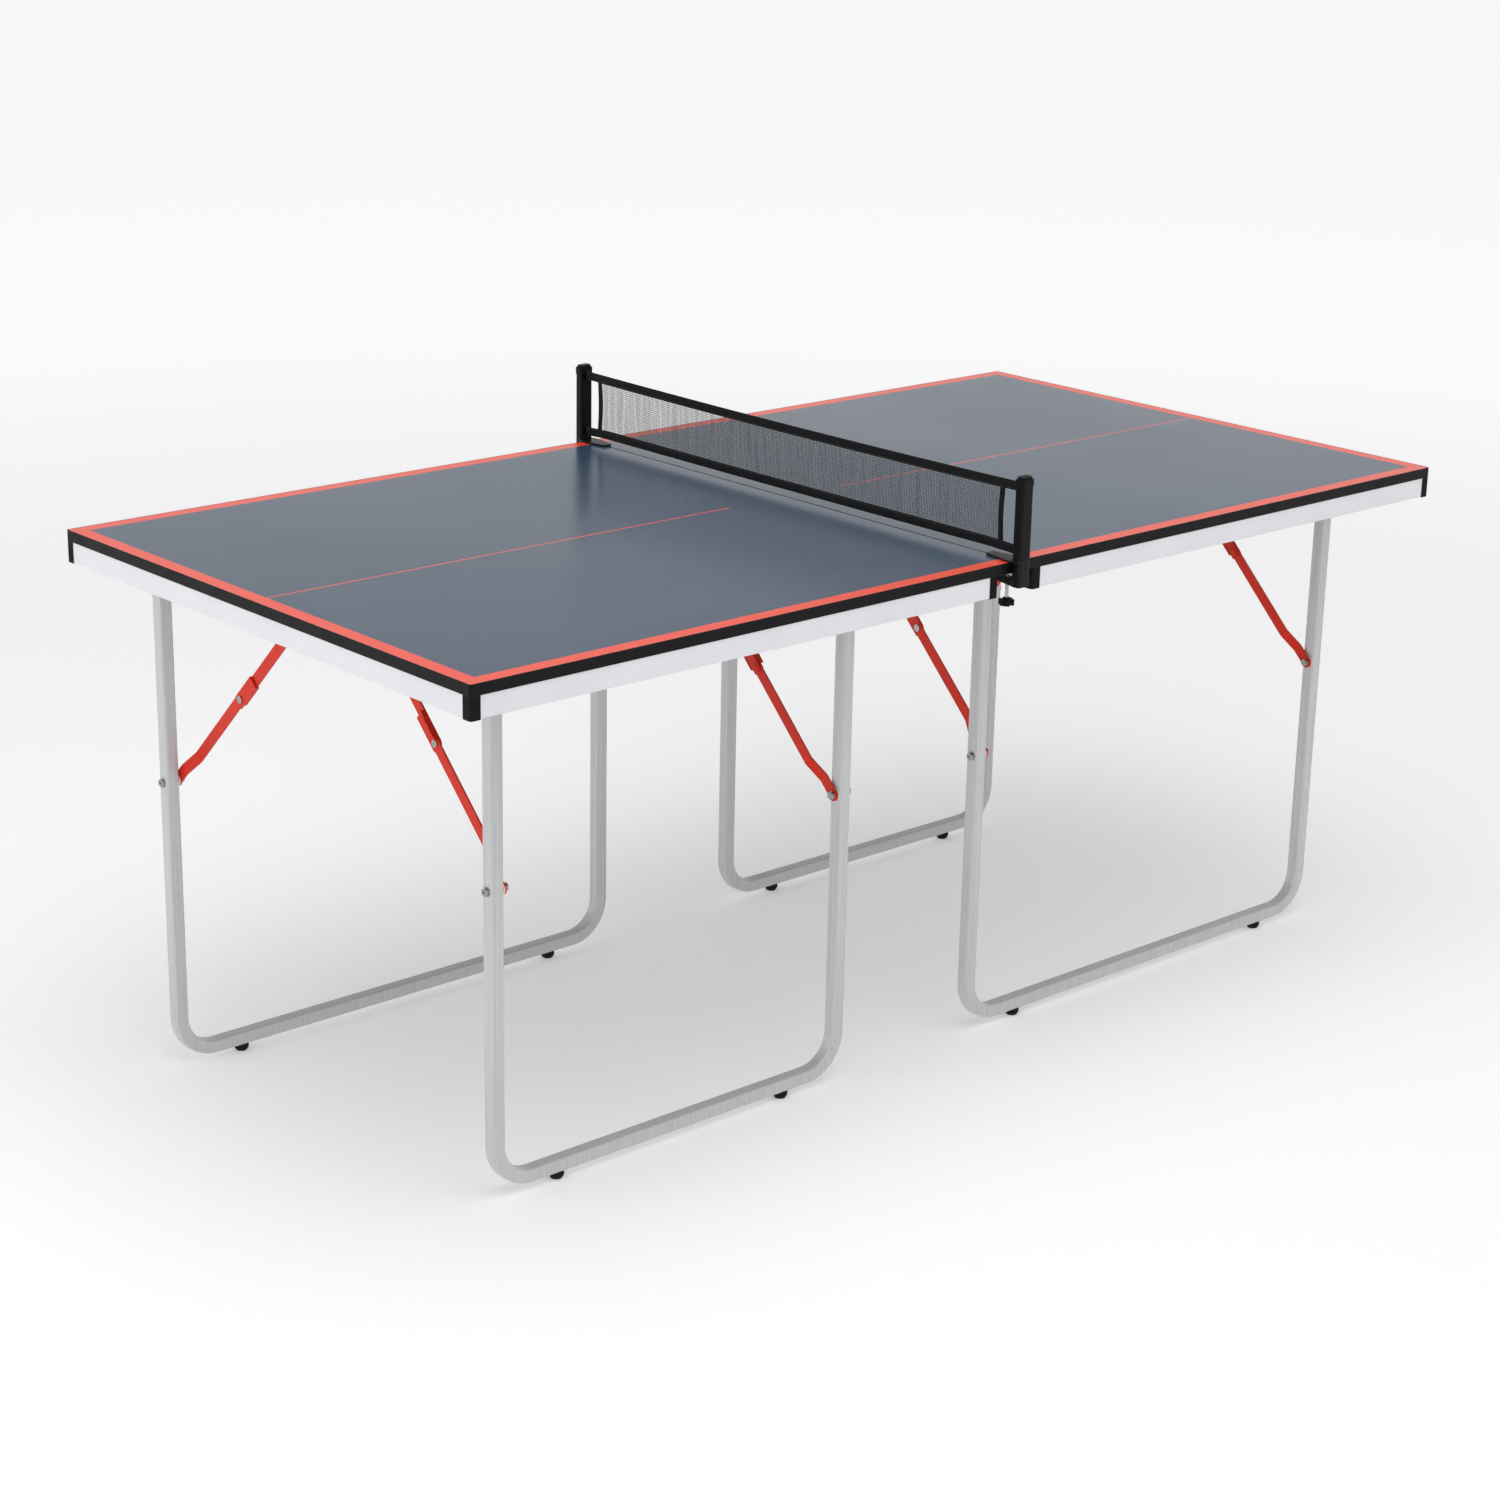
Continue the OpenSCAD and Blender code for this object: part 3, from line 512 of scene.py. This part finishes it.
def add_tube_walls(faces, first, rings, sides):
    """Joins rings of points, counted from first, into a tube's walls."""
    for i in range(rings - 1):
        for k in range(sides):
            a = first + i * sides + k
            b = first + i * sides + (k + 1) % sides
            faces.append((a, b, b + sides, a + sides))


def add_string(path, half, points, faces):
    """Adds a thin square string with closed ends, of a half width, along a path."""
    corners = [(1, 1), (-1, 1), (-1, -1), (1, -1)]
    first = len(points)
    for i, here in enumerate(path):
        width = heading(path, i).cross(ACROSS_THE_NET).normalized()
        for a, b in corners:
            points.append(here + width * (a * half) + ACROSS_THE_NET * (b * half))
    add_tube_walls(faces, first, len(path), len(corners))
    last = first + (len(path) - 1) * len(corners)
    faces.append((first + 3, first + 2, first + 1, first))
    faces.append((last, last + 1, last + 2, last + 3))


# ---------- net ----------

def waver(x, y, z):
    """A smooth random swing, mostly within +-1, that is always the same at the same place."""
    return noise.noise(Vector((x, y, z)))


def sag(y, share):
    """How far the net hangs down at a share of its height, most in the middle of the span."""
    return -(SAG_ADDED_ABOVE * share + SAG_LOWER_EDGE) * (1 - (y / NET_REACH) ** 2)


def ripple(y, share):
    """Sideways waves of the cloth: calm along its edges, gathered in its belly, with a slow drift."""
    fine = waver(y * FINE_WAVES, share * 1.2, 3.0) * FINE_SWING
    broad = waver(y * BROAD_WAVES, share, 8.0) * BROAD_SWING
    drift = waver(y * DRIFT_WAVES, 0.0, 21.0) * DRIFT_SWING
    belly = math.sin(math.pi * min(1.0, max(0.0, share)))
    return (fine + broad) * belly + drift


def net_point(y, share):
    """A point on the net's middle surface, share 0 at the lower edge and 1 at the upper edge."""
    return Vector((ripple(y, share), y, NET_BOTTOM + NET_SPAN * share + sag(y, share)))


def make_netting():
    """Fine square-knit netting, string by string."""
    low_share = NETTING_INSET / NET_SPAN
    height = 1 - low_share - low_share
    columns = round(2 * SIDE_TAPE / STRING_PITCH)
    rows = round(NET_SPAN * height / STRING_PITCH)
    points, faces = [], []
    for c in range(columns + 1):
        y = -SIDE_TAPE + 2 * SIDE_TAPE * c / columns
        lean = waver(y * 40, 5.0, 0.0) * COLUMN_LEAN
        y += (waver(y * 90, 9.0, 0.0) + waver(y * 28, 2.0, 4.0)) * COLUMN_STRAY
        path = []
        for s in range(COLUMN_STEPS + 1):
            leant = y + lean * math.sin(math.pi * s / COLUMN_STEPS)
            path.append(net_point(leant, low_share + height * s / COLUMN_STEPS))
        add_string(path, STRING_HALF, points, faces)
    for r in range(rows + 1):
        share = low_share + height * r / rows
        path = [net_point(-SIDE_TAPE + 2 * SIDE_TAPE * s / ROW_STEPS, share) for s in range(ROW_STEPS + 1)]
        add_string(path, STRING_HALF, points, faces)
    netting = piece_from("net_netting", points, faces, NET_STRING, smooth=False)
    return netting


def make_tape(name, path, width, thickness):
    """A folded tape along a path: a flattened loop of cloth, a little fuller in its middle."""
    ring = []
    for k in range(TAPE_SIDES):
        turn = 2 * math.pi * k / TAPE_SIDES
        across = math.copysign(abs(math.cos(turn)) ** TAPE_EDGE_ROUNDING, math.cos(turn))
        up = math.copysign(abs(math.sin(turn)) ** TAPE_FACE_ROUNDING, math.sin(turn))
        crown = 1 + TAPE_CROWN * (1 - across ** 2)
        ring.append((across * width / 2, up * thickness / 2 * crown))
    points, faces, uvs = [], [], []
    run = 0.0
    for i, here in enumerate(path):
        ahead = heading(path, i)
        side = ahead.cross(ACROSS_THE_NET).normalized()
        outward = side.cross(ahead).normalized()
        if i:
            run += (here - path[i - 1]).length
        for across, up in ring:
            pucker = waver(run * 60, across * 90, up * 200) * TAPE_PUCKER
            points.append(here + side * across + outward * (up + math.copysign(pucker, up)))
            uvs.append((run, across))
    add_tube_walls(faces, 0, len(path), TAPE_SIDES)
    faces.append(tuple(reversed(range(TAPE_SIDES))))
    faces.append(tuple(range((len(path) - 1) * TAPE_SIDES, len(path) * TAPE_SIDES)))
    return piece_from(name, points, faces, TAPE_WEAVE, uvs=uvs)


def make_stitches(name, path, length, inset):
    """A row of short thread stitches on both faces of a tape, set in from the middle of its width."""
    steps = len(path) - 1

    def on_tape(distance, face):
        share = (distance / length) * steps
        i = min(int(share), steps - 1)
        here = path[i].lerp(path[i + 1], share - i)
        return here + Vector((face * (TAPE_THICKNESS * 0.5 + THREAD_PROUD), 0, inset))

    points, faces = [], []
    for i in range(int(length / STITCH_PITCH)):
        for face in (-1, 1):
            start = on_tape(i * STITCH_PITCH + 0.5 * (STITCH_PITCH - STITCH_LENGTH), face)
            end = on_tape(i * STITCH_PITCH + 0.5 * (STITCH_PITCH + STITCH_LENGTH), face)
            bend = (start + end) / 2 + Vector((face * STITCH_BULGE, 0, 0))
            add_string([start, bend, end], THREAD_HALF, points, faces)
    return piece_from(name, points, faces, NET_STRING)


def make_tapes():
    """The long tapes above and below, a short one at each side, and the seams of the long ones."""
    low_share = TAPE_WIDTH / 2 / NET_SPAN
    top_share = 1 - low_share
    reach = NET_REACH - TAPE_END_GAP
    ys = [-reach + 2 * reach * i / TAPE_STEPS for i in range(TAPE_STEPS + 1)]
    top = [net_point(y, top_share) for y in ys]
    low = [net_point(y, low_share) for y in ys]
    for y, point in zip(ys, low):
        past = max(0.0, (abs(y) - LOWER_TAPE_DROP_FROM) / (reach - LOWER_TAPE_DROP_FROM))
        point.z -= LOWER_TAPE_DROP * past ** LOWER_TAPE_DROP_CURVE
    for point in top + low:
        point.x *= min(1.0, (reach - abs(point.y)) / TAPE_CALM_END)
    made = [make_tape("net_top_tape", top, TAPE_WIDTH, TAPE_THICKNESS),
            make_tape("net_bottom_tape", low, TAPE_WIDTH, TAPE_THICKNESS)]
    for name, side in (("near", -1), ("far", 1)):
        path = []
        for i in range(SIDE_TAPE_STEPS + 1):
            share = low_share + (top_share - low_share) * i / SIDE_TAPE_STEPS
            bow = -SIDE_TAPE_BOW * math.sin(math.pi * i / SIDE_TAPE_STEPS)
            here = net_point(side * (SIDE_TAPE + bow), share)
            here.x *= SIDE_TAPE_CALM
            path.append(here)
        made.append(make_tape(f"net_side_tape_{name}", path, SIDE_TAPE_WIDTH, SIDE_TAPE_THICKNESS))
    for name, path, sign in (("top", top, -1), ("bottom", low, 1)):
        made.append(make_stitches(f"net_{name}_stitches", path, 2 * reach, sign * SEAM_INSET))
    return made


def make_net():
    netting = make_netting()
    tapes = make_tapes()
    for piece in [netting, *tapes]:
        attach(piece, "net")
    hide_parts("net_mesh")
    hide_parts("net_tapes")


# ---------- studio ----------

FLOOR_HALF = 60
FLOOR_DROP = 0.2 * MM             # keeps the paper just clear of the feet
LIGHTS_AIM = Vector((0.0, 0.0, 0.7))
LIGHTS = [  # name, place, width and height, watts
    ("overhead_softbox", (-0.6, -0.8, 3.6), (3.2, 3.2), 60),
    ("left_softbox", (-3.6, 0.6, 1.6), (2.2, 2.2), 18),
    ("front_softbox", (1.6, -3.8, 1.8), (2.4, 2.0), 4),
]
CAMERA_PLACE = Vector((-2.9644, -3.2170, 1.8224))
CAMERA_VIEW = Vector((0.6332, 0.7073, -0.3144))
CAMERA_ROLL = math.radians(1.08)
CAMERA_LENS = 74.66


def soft_light(name, place, size, power):
    """A soft rectangular lamp that looks at the middle of the table."""
    data = bpy.data.lights.new(name, "AREA")
    data.shape = "RECTANGLE"
    data.size, data.size_y = size
    data.energy = power
    light = bpy.data.objects.new(name, data)
    light.location = place
    light.rotation_mode = "QUATERNION"
    light.rotation_quaternion = (LIGHTS_AIM - Vector(place)).to_track_quat("-Z", "Y")
    bpy.context.scene.collection.objects.link(light)


def make_floor():
    bm = bmesh.new()
    bmesh.ops.create_grid(bm, x_segments=8, y_segments=8, size=FLOOR_HALF)
    mesh = bpy.data.meshes.new("studio_floor")
    bm.to_mesh(mesh)
    bm.free()
    mesh.materials.append(floor_paper())
    floor = bpy.data.objects.new("studio_floor", mesh)
    floor.location.z = -FLOOR_DROP
    bpy.context.scene.collection.objects.link(floor)


def make_air():
    """The room's own light, bright near the floor and dimmer overhead."""
    world = bpy.data.worlds.new("studio_air")
    world.use_nodes = True
    air = Graph(world.node_tree)
    height = air.node("SeparateXYZ", {"Vector": air.node("TexCoord").outputs["Generated"]}).outputs["Z"]
    air.feed(world.node_tree.nodes["Background"].inputs["Color"],
             air.mix(air.span(height, 0.14, 0.31), AIR_LOW, AIR_HIGH))
    bpy.context.scene.world = world


def make_camera():
    """The viewing angle that the scene is rendered from."""
    data = bpy.data.cameras.new("front_corner_camera")
    data.lens = CAMERA_LENS
    data.sensor_width = 36.0
    data.shift_x = 0.008
    data.clip_end = 200
    camera = bpy.data.objects.new("front_corner_camera", data)
    camera.location = CAMERA_PLACE
    camera.rotation_mode = "QUATERNION"
    roll = Matrix.Rotation(CAMERA_ROLL, 3, "Z").to_quaternion()
    camera.rotation_quaternion = CAMERA_VIEW.to_track_quat("-Z", "Y") @ roll
    bpy.context.scene.collection.objects.link(camera)
    bpy.context.scene.camera = camera


make_camera()
make_floor()
make_air()
for lamp in LIGHTS:
    soft_light(*lamp)
paint_frame()
make_net()

bpy.context.scene.view_settings.view_transform = "Standard"
